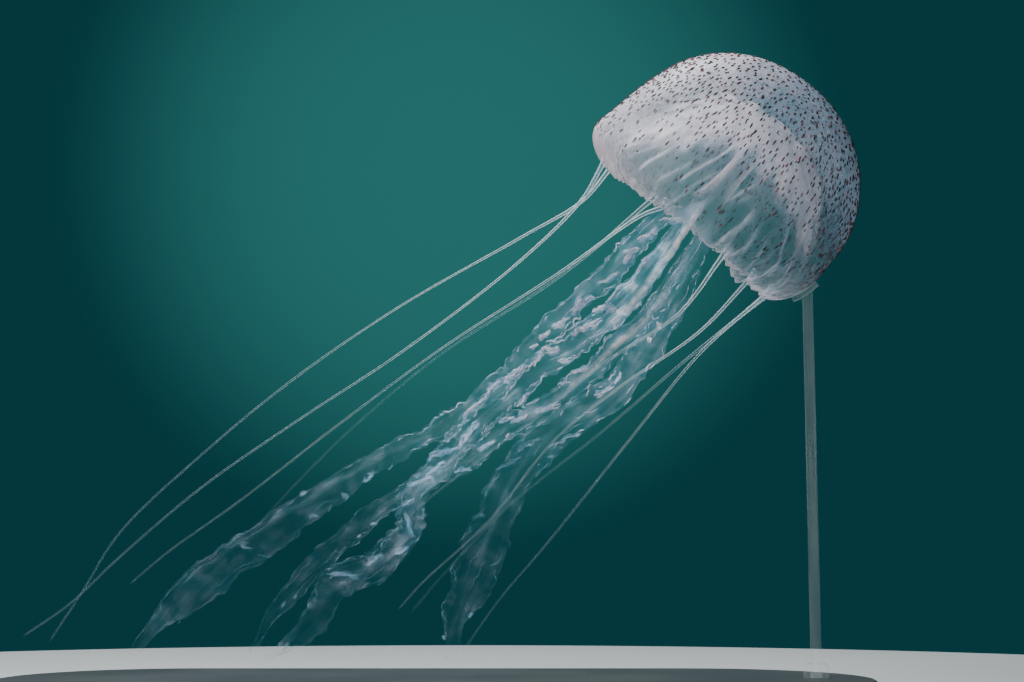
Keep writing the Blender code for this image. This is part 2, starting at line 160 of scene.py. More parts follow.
# Tentacles
TENTACLE_SEED = 400
TENTACLE_RADIUS = 0.54
TENTACLE_TIP_RADIUS = 0.35
TENTACLE_ROOT_RADIUS = 42.3
TENTACLE_ROOT_CLEAR = 1.4
ROOT_SUNK = (0.8, 2.2)  # how far out and up the root starts inside the margin
ROOT_COLLAR = (0.6, 4)  # how much thicker the root is, and over what length
ROOT_TAPER = (0.55, 20)
TENTACLE_STEP = 0.7
TENTACLE_SIDES = 20
STRAND_SHARE = 0.22  # thickness of each muscle strand as a share of the tentacle's
STRAND_OUT = 0.7  # how far out from the middle it lies, as a share of the radius
STRAND_GLOW = 0.72
LENGTHS = (1, 2, 3)

# Stage, in metres. Each light has a name, place, aim, size, power and colour.
CAMERA_PLACE = (0.028, -0.64, 0.05)
CAMERA_TURN = (math.radians(97.6), 0, 0)
CAMERA_LENS = 60
BELL_MIDDLE = (0.1, 0, 0.19)
ARMS_MIDDLE = (0, 0, 0.12)
LIGHTS = [("key", (-0.5, -0.6, 0.75), BELL_MIDDLE, 0.5, 12.2, (1, 0.96, 0.95)),
          ("top", (-0.05, 0.25, 0.95), BELL_MIDDLE, 0.6, 6.8, (0.92, 0.97, 1)),
          ("fill", (-0.3, -0.7, 0.12), ARMS_MIDDLE, 0.6, 1.8, (0.8, 0.92, 1))]
FLOOR_RADIUS = 0.5
FLOOR_CORNERS = 128
BACKDROP = ((0.004, 0.046, 0.054), (0.02, 0.155, 0.15))  # its colour, and where it glows
GLOW_TOWARDS = (-0.035, 0.972, 0.23)
GLOW_FROM = 0.972  # cosine of the angle between the glow's middle and its edge
CLEAR_LAYERS = 40  # that light may pass through

CLOUD_CELLS = 32  # along each side of the block of random values that repeats in space

# Oral arms: seat, route and reach of the wings as in the solids. Lists run from root to tip.
# In tenths, "veil" is how dense the wings are, "rib" how bright the midrib is, and the frills
# how thick and milky each edge is. "rib_side" is how far off the middle the midrib lies. A roll
# is a place where the lip is crumpled into a bright pink-white lump: how far along the arm and
# how far out across it (-1 and 1 are the wings' edges) it starts and ends, and its half
# thickness.
ARMS = {
    "front": {
        "seat": (-1, -1),
        "route": [
            (78, -3, 158), (61, -1, 141), (37, 0, 124), (16, 1, 106), (1, 1, 89), (-9, 2, 77),
            (-12, 2, 62), (-22, 2, 52), (-38, 2, 44), (-45, 2, 32), (-56, 3, 21), (-65, 3, 16)],
        "upper_wing": [2.6, 4.8, 4.4, 4.2, 4.4, 5, 3],
        "lower_wing": [2.6, 3.4, 4.4, 4.4, 5, 5.6, 3],
        "phase": 1.26,
        "veil": [13, 14, 11, 8, 5, 4, 4, 2.5, 2, 2, 2],
        "rib": [10, 9, 4, 1, 1, 1, 1, 0, 0],
        "rib_side": [2, 2.4, 2.4, 1, 0, 0],
        "upper_frill": [0, 1, 5, 8, 9, 7, 8, 5, 4],
        "lower_frill": [0, 1, 8, 7, 3, 5, 5, 4, 4],
        "rolls": [
            (0.08, -0.78, 0.228, -1.15, 0.3), (0.245, -1.5, 0.222, -0.8, 0.9),
            (0.222, -0.8, 0.208, 0.9, 1.3), (0.208, 0.9, 0.178, 1.5, 0.9),
            (0.24, -0.25, 0.295, -0.95, 1), (0.345, -1.1, 0.322, -0.35, 1.4),
            (0.37, -0.6, 0.345, -0.8, 0.8), (0.335, 0.3, 0.318, 0.9, 0.8), (0.38, -1.3, 0.42, -1, 1.3),
            (0.42, -1, 0.45, -1.7, 1.1), (0.45, -1.6, 0.505, -1, 0.8), (0.4, 1.1, 0.43, 1.5, 0.9),
            (0.49, 0.1, 0.54, 0.25, 1), (0.54, 0.25, 0.585, -1.3, 0.9), (0.57, 0.3, 0.605, -0.5, 1),
            (0.6, 0.25, 0.635, -0.95, 1), (0.645, 0.1, 0.66, -0.7, 0.8), (0.67, -0.5, 0.7, 0.35, 0.9),
            (0.715, 0.7, 0.735, 0.3, 0.9), (0.75, -0.4, 0.78, -0.4, 0.8), (0.8, 0.2, 0.835, -0.7, 1),
            (0.95, -0.2, 0.965, 0.1, 0.7)],
    },
    "right": {
        "seat": (1, -1),
        "route": [
            (92, 0, 163), (82, 3, 148), (65, 6, 132), (44, 9, 113), (25, 11, 103), (12, 12, 92),
            (-18, 13, 75), (-39, 14, 58), (-59, 15, 37), (-67, 15, 25), (-71, 15, 18)],
        "upper_wing": [2.4, 3, 3.4, 3.4, 3.8, 4.5, 2.4],
        "lower_wing": [2.4, 3.8, 4, 3.8, 3.4, 3.2, 2.2],
        "phase": 1.7,
        "veil": [0.5, 5, 8, 6, 3, 2, 1.5, 1.5, 1.5],
        "rib": [1, 3, 10, 3, 1, 0, 0, 0, 0],
        "rib_side": [0],
        "upper_frill": [0, 1, 5, 6, 5, 2, 2, 2, 2],
        "lower_frill": [0, 1, 2, 4, 5, 3, 3, 3, 2],
        "rolls": [
            (0.31, -0.4, 0.335, -1, 0.9), (0.345, -0.5, 0.36, -1.1, 0.6), (0.38, 0.5, 0.42, 0, 1.1),
            (0.43, -0.3, 0.46, -0.2, 1), (0.45, -0.6, 0.475, -0.9, 0.8), (0.47, 0.5, 0.48, 0.9, 0.7),
            (0.495, 0.5, 0.525, -0.1, 0.9), (0.55, 0.9, 0.575, 0.3, 0.7), (0.72, 0.9, 0.728, 0.6, 0.6),
            (0.75, 0.8, 0.757, 0.7, 0.5), (0.885, 0.8, 0.893, 0.9, 0.6), (0.905, 0.1, 0.915, 0.3, 0.5)],
    },
    "left": {
        "seat": (-1, 1),
        "route": [
            (86, 5, 184), (64.6, 11, 163), (41.3, 15, 141.5), (22, 17, 120.8), (-1.2, 19, 104.1),
            (-25, 20, 92), (-54, 21, 75), (-77, 22, 60), (-92, 22, 50), (-100, 22, 42), (-111, 23, 28),
            (-118, 23, 17)],
        "upper_wing": [2.6, 3.4, 3.4, 3.2, 2.6, 2.2, 2, 1.8],
        "lower_wing": [2.6, 4.2, 4.6, 4.8, 5, 9, 12, 4],
        "phase": 3.1,
        "veil": [9, 9, 6, 4, 2.5, 2, 2, 2.5, 3, 2],
        "rib": [1, 1, 1, 0, 0, 1, 1, 0, 0],
        "rib_side": [0],
        "upper_frill": [3, 5, 4, 5, 3, 2, 4, 3, 2],
        "lower_frill": [5, 7, 9, 6, 2, 2, 3, 2, 2],
        "rolls": [
            (0.065, 0.2, 0.03, 0.7, 0.6), (0.075, 0.6, 0.105, 0.2, 1), (0.11, 0.8, 0.13, -0.2, 0.8),
            (0.12, 0.4, 0.142, 0.6, 0.9), (0.153, 0.7, 0.185, 0.2, 0.7), (0.2, 0.9, 0.213, 0.4, 1.2),
            (0.213, 0.4, 0.238, 0.5, 1.5), (0.245, 0.45, 0.27, 0.25, 1),
            (0.275, 0.35, 0.295, 0.15, 1), (0.3, 0.4, 0.312, 0.1, 0.9), (0.585, 1.1, 0.6, 1.2, 0.5),
            (0.63, 0.9, 0.638, 0.8, 0.6), (0.675, -1.5, 0.685, -1.2, 0.7), (0.78, 0.35, 0.79, 0.1, 0.7)],
    },
    "back": {
        "seat": (1, 1),
        "route": [
            (91, 11, 153), (74, 15, 126), (62, 16, 114), (41, 17, 100), (29, 17, 86), (20, 18, 65),
            (11, 18, 42), (6, 18, 28), (4, 18, 15)],
        "upper_wing": [2.6, 5, 5.6, 6, 7, 7.6, 4],
        "lower_wing": [2.6, 5, 6, 6.4, 7.4, 7.6, 4],
        "phase": 4.4,
        "veil": [0.5, 5, 7, 5, 3, 2, 1.5, 1.5, 1.5],
        "rib": [0, 1, 1, 1, 1, 1, 1, 0, 0],
        "rib_side": [0],
        "upper_frill": [0, 1, 3, 4, 5, 5, 2, 3, 4],
        "lower_frill": [1, 3, 3, 3, 4, 4, 2, 2, 3],
        "rolls": [
            (0.23, -0.3, 0.242, 0, 0.8), (0.262, -0.4, 0.272, -0.1, 0.8),
            (0.35, -0.5, 0.375, -0.3, 0.6), (0.38, -0.2, 0.42, -0.5, 0.7), (0.48, 1, 0.55, 0.5, 0.5),
            (0.55, -0.2, 0.598, -0.7, 0.6), (0.6, -0.3, 0.64, -1.1, 0.5), (0.645, -0.8, 0.69, -1, 0.5),
            (0.722, -0.8, 0.728, -0.9, 0.7), (0.9, 0.9, 0.91, 1, 0.6), (0.955, -1.4, 0.962, -1.1, 0.8)],
    },
}

# Tentacles, from the first to the eighth: azimuth of the root on the bell, how bright the strands
# are, and the route
TENTACLES = [
    (157.5, 1, [
        (56, 20, 194), (32, 23, 180), (-16, 27, 153), (-58, 28, 124), (-94, 29, 94), (-125, 30, 64),
        (-139, 30, 41), (-151, 30, 22)]),
    (202.5, 1, [
        (54, -12, 187), (31, -6, 165), (-14, 0, 131), (-52, 2, 106), (-89, 3, 80), (-119, 3, 54),
        (-137, 4, 37), (-154, 4, 25)]),
    (112.5, 1, [
        (80, 41, 192), (47, 43, 169), (-1, 45, 138), (-45, 45, 105), (-81, 46, 77), (-110, 46, 56),
        (-124, 46, 44)]),
    (247.5, 0.4, [(46, -20, 157), (1, -8, 129), (-33, -3, 101), (-55, -1, 79), (-70, 0, 62)]),
    (292.5, 0.5, [
        (88, -33, 141), (63, -27, 125), (35, -23, 103), (16, -22, 89), (-12, -20, 66), (-28, -19, 42)]),
    (45, 1, [(103, 36, 144), (71, 39, 122), (45, 41, 101), (19, 42, 69), (-8, 43, 44), (-17, 43, 34)]),
    (337.5, 0.35, [(94, -12, 128), (61, -11, 100), (27, -10, 73), (3, -10, 48), (-9, -10, 34)]),
    (22.5, 0.7, [(102, 22, 134), (74, 26, 100), (41, 28, 59), (23, 29, 38), (6, 29, 14)]),
]


# ---- shapes in numbers

def eased(share):
    return share * share * (3 - 2 * share)


def smoothstep(low, high, value):
    return eased(np.clip((value - low) / (high - low), 0, 1))


def blended(values, share):
    """The value at a share from 0 to 1 along an evenly spread list."""
    return np.interp(share, np.linspace(0, 1, len(values)), values)


def tenths(values, share):
    return blended(np.array(values) / 10, share)


def wandering(seed, places, spacing):
    """A smooth random run from -1 to 1 along places, turning about once each spacing."""
    knots = np.arange(places.min() - 2 * spacing, places.max() + 3 * spacing, spacing)
    heights = np.random.default_rng(seed).uniform(-1, 1, len(knots))
    place = (places - knots[0]) / spacing
    left = np.clip(place.astype(int), 0, len(knots) - 2)
    share = eased(place - left)
    return heights[left] * (1 - share) + heights[left + 1] * share


def cloudy(seed, points, size):
    """Smooth random values from -1 to 1 at places in space, turning about once each size."""
    table = np.random.default_rng(seed).uniform(-1, 1, [CLOUD_CELLS] * 3)
    low = np.floor(points / size).astype(int)
    share = eased(points / size - low)
    total = np.zeros(points.shape[:-1])
    for corner in itertools.product((0, 1), repeat=3):
        weight = np.prod(np.where(corner, share, 1 - share), axis=-1)
        x, y, z = np.moveaxis((low + corner) % CLOUD_CELLS, -1, 0)
        total += weight * table[x, y, z]
    return total


def unit(vectors):
    return vectors / np.maximum(np.linalg.norm(vectors, axis=-1, keepdims=True), 1e-9)


def around(count):
    """Angles evenly spread over a full turn."""
    return math.tau * np.arange(count) / count


def rings_round(side, front, corners, depth=1):
    """A ring of points for each pair of directions, 1 wide and so deep to each side."""
    turn = around(corners)[:, None]
    return side[:, None] * np.cos(turn) + front[:, None] * (depth * np.sin(turn))


def local_change(change, z):
    amount, level, spread = change
    return amount * np.exp(-((z - level) / spread) ** 2)


def bell_local(radius, azimuth, z):
    """Places on the bell in its own frame, with the unevenness of its pulse."""
    radius, azimuth, z = np.broadcast_arrays(radius, azimuth, z)
    lead = np.cos(azimuth)
    radius = radius + local_change(DRAWN_IN, z) * np.maximum(lead, 0)
    flank = local_change(FLARE, z) + local_change(HOLLOW_FLANK, z)
    radius = radius + flank * np.maximum(-lead, 0)
    return np.stack([radius * lead, radius * np.sin(azimuth), z], axis=-1)


def from_bell(points):
    return points @ BELL_TURN.T + BELL_PLACE


def curl_depth(azimuth):
    return CURL_DEPTH + HANG * np.maximum(np.cos(azimuth), 0) ** 2


def margin_local(curl, azimuth, proud=0, drop=0):
    """Places on the margin's outer face, or proud of it by a distance along its normal, and
    let down by a drop."""
    depth = curl_depth(azimuth)
    along = unit(np.stack([np.cos(curl) / CURL_IN, -np.sin(curl) / depth], axis=-1))
    radius = BELL_RADIUS - CURL_IN * (1 - np.cos(curl)) + along[..., 0] * proud
    z = WAIST_Z - depth * np.sin(curl) + along[..., 1] * proud
    places = bell_local(radius, azimuth, z)
    places[..., 2] -= drop
    return places


def smooth_route(points, count):
    """Points evenly spaced on a centripetal Catmull-Rom curve through the given ones."""
    points = np.array(points, float)
    ends = np.vstack([2 * points[0] - points[1], points, 2 * points[-1] - points[-2]])
    spans = np.sqrt(np.linalg.norm(np.diff(ends, axis=0), axis=1))
    slopes = np.diff(ends, axis=0) / spans[:, None]
    across = (ends[2:] - ends[:-2]) / (spans[1:] + spans[:-1])[:, None]
    speeds = slopes[:-1] + slopes[1:] - across
    steps = np.arange(SPAN_POINTS)[:, None] / SPAN_POINTS
    dense = []
    for i in range(len(points) - 1):
        start = speeds[i] * spans[i + 1]
        end = speeds[i + 1] * spans[i + 1]
        dense.append(points[i] * (2 * steps**3 - 3 * steps**2 + 1)
                     + start * (steps**3 - 2 * steps**2 + steps)
                     + points[i + 1] * (3 * steps**2 - 2 * steps**3)
                     + end * (steps**3 - steps**2))
    dense = np.vstack([*dense, points[-1:]])
    return points_along(dense, np.linspace(0, run_lengths(dense)[-1], count))


def running_sum(steps):
    return np.insert(np.cumsum(steps, axis=-1), 0, 0, axis=-1)


def run_lengths(points):
    return running_sum(np.linalg.norm(np.diff(points, axis=0), axis=1))


def points_along(points, distances):
    lengths = run_lengths(points)
    return np.stack([np.interp(distances, lengths, points[:, i]) for i in range(3)], axis=-1)


# ---- meshes

class Shape:
    """Collects closed bodies, with named values at their points, into one mesh."""

    def __init__(self):
        self.points = []
        self.faces = []
        self.values = {}
        self.count = 0

    def rings(self, grid, **values):
        """A closed body through rings of points, with a fan over each end."""
        rows, columns = grid.shape[:2]
        end = self.count + rows * columns
        corner = np.arange(self.count, end).reshape(rows, columns)
        ahead = np.roll(corner, -1, axis=1)
        sides = np.stack([corner[:-1], ahead[:-1], ahead[1:], corner[1:]], axis=-1)
        self.faces += sides.reshape(-1, 4).tolist()
        self.faces += [[end, ahead[0, i], corner[0, i]] for i in range(columns)]
        self.faces += [[end + 1, corner[-1, i], ahead[-1, i]] for i in range(columns)]
        self.points += [grid.reshape(-1, 3), grid[0].mean(axis=0), grid[-1].mean(axis=0)]
        self.count = end + 2
        for name, value in values.items():
            value = np.broadcast_to(value, (rows, columns))
            self.values.setdefault(name, []).extend([*value, [value[0].mean(), value[-1].mean()]])

    def sheet(self, grid, thickness, **values):
        """A thin closed body, half its thickness to each side of a grid of points."""
        down = np.gradient(grid, axis=0)
        side = np.gradient(grid, axis=1)
        normals = unit(np.cross(down, side))
        half = normals * np.broadcast_to(thickness, grid.shape[:2])[..., None] / 2
        both = np.concatenate([grid + half, (grid - half)[:, ::-1]], axis=1)
        doubled = {}
        for name, value in values.items():
            value = np.broadcast_to(value, grid.shape[:2])
            doubled[name] = np.concatenate([value, value[:, ::-1]], axis=1)
        self.rings(both, **doubled)

    def make(self, name, material):
        mesh = bpy.data.meshes.new(name)
        mesh.from_pydata(np.vstack(self.points) * MM, [], self.faces)
        for value_name, kept in self.values.items():
            layer = mesh.attributes.new(value_name, "FLOAT", "POINT")
            layer.data.foreach_set("value", np.concatenate(kept).astype(np.float32))
        mesh.materials.append(material)
        mesh.shade_smooth()
        mesh.update()
        face_outwards(mesh)
        piece = placed(name, mesh)
        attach(piece, BODY)
        return piece


def face_outwards(mesh):
    work = bmesh.new()
    work.from_mesh(mesh)
    bmesh.ops.recalc_face_normals(work, faces=work.faces)
    work.to_mesh(mesh)
    work.free()


def placed(name, data, place=(0, 0, 0), turn=(0, 0, 0)):
    """A new object in the scene."""
    thing = bpy.data.objects.new(name, data)
    thing.location = place
    thing.rotation_euler = turn
    bpy.context.collection.objects.link(thing)
    return thing


# ---- materials

class Nodes:
    """Makes nodes in a tree. What goes into one is a number, a colour or another's output."""

    def __init__(self, tree):
        self.tree = tree

    def fill(self, socket, value):
        if isinstance(value, bpy.types.NodeSocket):
            self.tree.links.new(value, socket)
        else:
            socket.default_value = (*value, 1) if socket.type == "RGBA" else value

    def node(self, kind, inputs=(), **settings):
        made = self.tree.nodes.new(f"ShaderNode{kind}")
        for key, value in settings.items():
            setattr(made, key, value)
        for key, value in dict(inputs).items():
            self.fill(made.inputs[key], value)
        return made.outputs

    def ramp(self, value, low, high, to_low=0, to_high=1):
        """Turns low to high into to_low to to_high, with soft ends."""
        return self.node("MapRange", enumerate((value, low, high, to_low, to_high)),
                         interpolation_type="SMOOTHSTEP")["Result"]

    def mix(self, share, a, b):
        """A colour between a and b."""
        return self.node("Mix", {0: share, 6: a, 7: b}, data_type="RGBA")[2]


class Finish(Nodes):
    """A Principled material and the nodes that feed it."""

    def __init__(self, name, roughness, **settings):
        self.material = bpy.data.materials.new(name)
        self.material.use_nodes = True
        super().__init__(self.material.node_tree)
        self.shader = self.tree.nodes["Principled BSDF"]
        self.feed("Roughness", roughness)
        for socket, value in settings.items():
            self.feed(socket.replace("_", " "), value)

    def feed(self, socket, value):
        self.fill(self.shader.inputs[socket], value)

    def value(self, name):
        return self.node("Attribute", attribute_name=name)["Fac"]

    def calc(self, operation, a, b):
        return self.node("Math", {0: a, 1: b}, operation=operation)["Value"]

    def blend(self, share, a, b):
        """A number between a and b."""
        return self.node("Mix", {0: share, 2: a, 3: b}, data_type="FLOAT")[0]

    def place(self):
        return self.node("TexCoord")["Object"]

    def stretched(self, place, stretch):
        return self.node("VectorMath", {0: place, 1: stretch}, operation="MULTIPLY")["Vector"]

    def bell_place(self, stretch=(1, 1, 1)):
        """Coordinates in the bell's frame, scaled along each of its axes."""
        moved = self.node("VectorMath", {0: self.place(), 1: tuple(BELL_PLACE * MM)},
                          operation="SUBTRACT")["Vector"]
        turned = self.node("VectorRotate", {"Vector": moved, "Rotation": BELL_ANGLES},
                           rotation_type="EULER_XYZ", invert=True)["Vector"]
        return self.stretched(turned, stretch)

    def noise(self, scale, detail=2, place=None, roughness=0.5):
        return self.node("TexNoise", {"Vector": place or self.place(), "Scale": scale,
                                      "Detail": detail, "Roughness": roughness})["Fac"]

    def net(self, scale):
        """0 on the lines of an uneven net, and more the further inside its meshes."""
        return self.node("TexVoronoi", {"Vector": self.bell_place(), "Scale": scale},
                         feature="DISTANCE_TO_EDGE")["Distance"]

    def rim(self):
        """0 where a surface faces the eye and 1 at its rim."""
        return self.node("LayerWeight", {"Blend": 0.5})["Facing"]

    def slab(self, opacity, most):
        """Opacity of a clear layer, which grows as the eye looks through more of it towards
        the rim, to at most so many thicknesses."""
        facing = self.calc("SUBTRACT", 1, self.rim())
        depth = self.calc("DIVIDE", 1, self.calc("MAXIMUM", facing, 1 / most))
        clear = self.calc("POWER", self.calc("SUBTRACT", 1, opacity), depth)
        return self.calc("SUBTRACT", 1, clear)

    def bump(self, height, strength, distance):
        self.feed("Normal", self.node("Bump", {"Height": height, "Strength": strength,
                                               "Distance": distance})["Normal"])


def bell_finish():
    """Jelly that is clear or milky by its density at each place, blue-grey on the crown and
    pink-white where it is milky, with a pale net on the outside and streaks down the lining."""
    finish = Finish("bell_jelly", 0.38, Coat_Weight=0.22, Coat_Roughness=0.2)
    lining = finish.value("lining")
    mottle = finish.noise(210, 3, roughness=0.6)
    speckle = finish.noise(1050)
    streak = finish.noise(1, place=finish.bell_place((430, 430, 45)))
    net = finish.net(300)

    jelly = finish.mix(finish.ramp(mottle, 0.38, 0.66), (0.25, 0.47, 0.64), (0.52, 0.58, 0.8))
    milk = finish.mix(finish.ramp(speckle, 0.35, 0.65), (0.8, 0.78, 0.89), (0.96, 0.9, 0.95))
    # white and warm also carry painted light on the flared side and a painted highlight near the front's
    # top
    colour = finish.mix(finish.value("white"), jelly, milk)
    finish.feed("Base Color", finish.mix(finish.value("warm"), colour, (0.95, 0.76, 0.79)))

    outside = finish.calc("MULTIPLY", finish.ramp(net, 0, 0.1, 1.25, 0.92),
                          finish.ramp(speckle, 0.35, 0.65, 0.93, 1.07))
    inside = finish.ramp(streak, 0.36, 0.66, 0.72, 1.3)
    density = finish.calc("MULTIPLY", finish.value("body"), finish.blend(lining, outside, inside))
    density = finish.calc("MINIMUM", density, 0.96)
    film = finish.slab(density, 6)
    # the painted highlight ridge stays dense where the lining otherwise fades at its rim
    kept = finish.calc("MAXIMUM", finish.ramp(finish.rim(), 0.3, 0.86, 1, 0), finish.value("highlight_ridge"))
    cloth = finish.calc("MULTIPLY", finish.slab(density, 2.4), kept)
    finish.feed("Alpha", finish.calc("MINIMUM", finish.blend(lining, film, cloth), 0.97))
    finish.bump(mottle, 0.3, 0.0006)
    return finish.material


def wart_finish():
    """Dark brown pigment, here and there red."""
    finish = Finish("wart_pigment", 0.6, Specular_IOR_Level=0.25)
    speckle = finish.noise(1800)
    brown = finish.mix(finish.ramp(speckle, 0.45, 0.7), (0.018, 0.012, 0.014), (0.06, 0.03, 0.03))
    finish.feed("Base Color", finish.mix(finish.value("red"), brown, (0.22, 0.02, 0.035)))
    finish.feed("Alpha", finish.value("depth"))
    return finish.material


def arm_finish():
    """Glassy blue-grey wings, a creamy midrib and crumpled pink-white lips."""
    finish = Finish("arm_jelly", 0.3, Coat_Weight=0.5, Coat_Roughness=0.12)
    rib = finish.value("rib")
    frill = finish.value("frill")
    grain = finish.noise(620, 3)
    cloud = finish.noise(170)
    wing = finish.mix(finish.ramp(cloud, 0.35, 0.7), (0.26, 0.6, 0.84), (0.55, 0.72, 0.94))
    colour = finish.mix(rib, wing, (0.95, 0.84, 0.78))
    lip = finish.mix(finish.ramp(grain, 0.38, 0.62), (0.93, 0.76, 0.86), (0.95, 0.94, 1))
    finish.feed("Base Color", finish.mix(finish.ramp(frill, 0.1, 0.6), colour, lip))
    density = finish.calc("MULTIPLY", finish.value("veil"), finish.ramp(cloud, 0.3, 0.72, 0.06, 0.14))
    density = finish.calc("ADD", density, finish.calc("MULTIPLY", rib, 0.45))
    lit = finish.calc("MULTIPLY", frill, finish.ramp(grain, 0.3, 0.6, 0.6, 1))
    density = finish.calc("MINIMUM", finish.calc("MAXIMUM", density, lit), 0.95)
    finish.feed("Alpha", finish.slab(density, 5))
    finish.bump(grain, 0.3, 0.0004)
    return finish.material


def tentacle_finish():
    """A glassy thread with two bright strands of muscle along its sides, and a painted highlight that
    makes its rims paler and denser, as light bent at a glass thread's edges would.
    """
    finish = Finish("tentacle_jelly", 0.2, Coat_Weight=0.7, Coat_Roughness=0.1)
    cloud = finish.noise(160)
    # painted highlight: paler and denser towards the thread's rims
    side = finish.ramp(finish.rim(), 0.35, 0.8)
    strand = finish.value("strand")
    # pale on the real muscle strands, and at the rims as painted highlight
    pale = finish.calc("MAXIMUM", side, finish.ramp(strand, 0, 0.3))
    finish.feed("Base Color", finish.mix(pale, (0.3, 0.52, 0.62), (0.92, 0.95, 0.97)))
    clear = finish.ramp(cloud, 0.35, 0.7, 0.16, 0.3)
    alpha = finish.calc("MULTIPLY", finish.blend(side, clear, 0.6), finish.value("fade"))
    finish.feed("Alpha", finish.calc("MAXIMUM", alpha, strand))
    return finish.material


def acrylic_finish():
    finish = Finish("clear_acrylic", 0.05, Coat_Weight=0.5, Coat_Roughness=0.05)
    haze = finish.noise(1, place=finish.stretched(finish.place(), (900, 900, 30)))
    finish.feed("Base Color", finish.mix(haze, (0.74, 0.86, 0.86), (0.9, 0.96, 0.96)))
    density = finish.ramp(haze, 0.35, 0.65, 0.025, 0.05)
    finish.feed("Alpha", finish.slab(density, 12))
    return finish.material


def plinth_finish():
    finish = Finish("plinth", 0.5)
    grain = finish.noise(1500, 3)
    cloud = finish.noise(22)
    tone = finish.ramp(cloud, 0.35, 0.7)
    finish.feed("Base Color", finish.mix(tone, (0.04, 0.05, 0.055), (0.062, 0.072, 0.076)))
    finish.feed("Roughness", finish.ramp(grain, 0.3, 0.7, 0.42, 0.6))
    finish.bump(grain, 0.25, 0.00015)
    return finish.material


# ---- the bell

def crown_profile():
    turn = np.radians(np.linspace(CROWN_FIRST_ROW, 90, CROWN_ROWS))
    power = 2 / CROWN_POWER
    radius = BELL_RADIUS * np.sin(turn) ** power
    z = WAIST_Z + CROWN_HEIGHT * np.maximum(np.cos(turn), 0) ** power
    return radius, z


def margin_faces(azimuth):
    """Outer and inner face of the lappeted margin, from the waist to the free edge."""
    place = azimuth / math.tau * LAPPETS
    draw = np.random.default_rng(LAPPET_SEED).uniform
    own = draw(-1, 1, LAPPETS)[place.astype(int) % LAPPETS]
    across = place % 1 * 2 - 1
    bulge = np.sqrt(1 - across ** 2)
    share = np.linspace(0, 1, MARGIN_ROWS + 1)[1:, None]
    curl = (NOTCH_CURL + (LAPPET_CURL - NOTCH_CURL) * bulge) * share
    lobes = np.abs(np.sin(azimuth * LAPPETS * 1.5 + 2 * own)) ** 0.7
    drop = (LAPPET_DROP * bulge * (1 + 0.35 * own) + LOBE_DROP * lobes * bulge) * share ** 2
    drop = drop + FLAP[2] * np.exp(-((azimuth - FLAP[0]) / FLAP[1]) ** 2) * share ** 2
    ripple = np.sin(azimuth * 61 + 2 * own) + 0.6 * np.sin(azimuth * 97 + 1)
    flutter = FLUTTER * share ** 4 * ripple - FLUTTER * share ** 4
    wall = BELL_RADIUS - VAULT_RADIUS * math.sqrt(1 - ((WAIST_Z - VAULT_Z) / VAULT_HEIGHT) ** 2)
    depth = wall + (EDGE_THICKNESS - wall) * np.sin(math.radians(90) * share)
    return (margin_local(curl, azimuth, flutter, drop),
            margin_local(curl, azimuth, flutter - depth, drop)[::-1], share)


def stalk_profile():
    """The hollow's roof, turning down into the stalk that carries the arms."""
    roof_z = VAULT_Z + VAULT_HEIGHT * math.sqrt(1 - (ROOF_RADIUS / VAULT_RADIUS) ** 2)
    turn = np.radians(np.linspace(0, 90, ROOF_ROWS)[1:])
    neck = MANUBRIUM_RADII[0]
    bend_radius = ROOF_RADIUS - (ROOF_RADIUS - neck) * np.sin(turn)
    bend_z = roof_z - ROOF_BEND * (1 - np.cos(turn))
    z = np.linspace(bend_z[-1], MANUBRIUM_END, STALK_ROWS)[1:]
    radius = blended(MANUBRIUM_RADII, (MANUBRIUM_TOP - z) / (MANUBRIUM_TOP - MANUBRIUM_END))
    return np.concatenate([bend_radius, radius]), np.concatenate([bend_z, z])


def lining_folds(azimuth, z):
    """White folds of the lining: the front ones where they show, and others all round. Each
    has a steep side and a soft one."""
    draw = np.random.default_rng(FOLD_SEED).uniform
    folds = [(math.radians(line[0]), math.radians(line[1]), *line[2:]) for line in FRONT_FOLDS]
    for i in range(OTHER_FOLDS):
        middle = math.tau * (i + draw(-0.35, 0.35)) / OTHER_FOLDS
        low = draw(-6, 6)
        lean = draw(0.001, 0.011)
        high = low + draw(12, 26)
        strength = draw(0.2, 0.5)
        if not FRONT[0] < math.degrees(middle) < FRONT[1]:
            folds.append((middle, lean, low, high, strength))
    ridges = np.zeros(azimuth.shape)
    for middle, lean, low, high, strength in folds:
        sway = draw(0.2, 0.9)
        step = draw(0, math.tau)
        line = middle + lean * z + 0.018 * sway * np.sin(z * 0.32 + step)
        away = ((azimuth - line + math.pi) % math.tau - math.pi) * VAULT_RADIUS
        width = np.where(away > 0, draw(0.9, 1.8), draw(0.35, 0.5))
        window = smoothstep(low - 3, low + 3, z) * (1 - smoothstep(high - 8, high, z))
        ridges = np.maximum(ridges, strength * window * np.exp(-(away / width) ** 2))
    return ridges


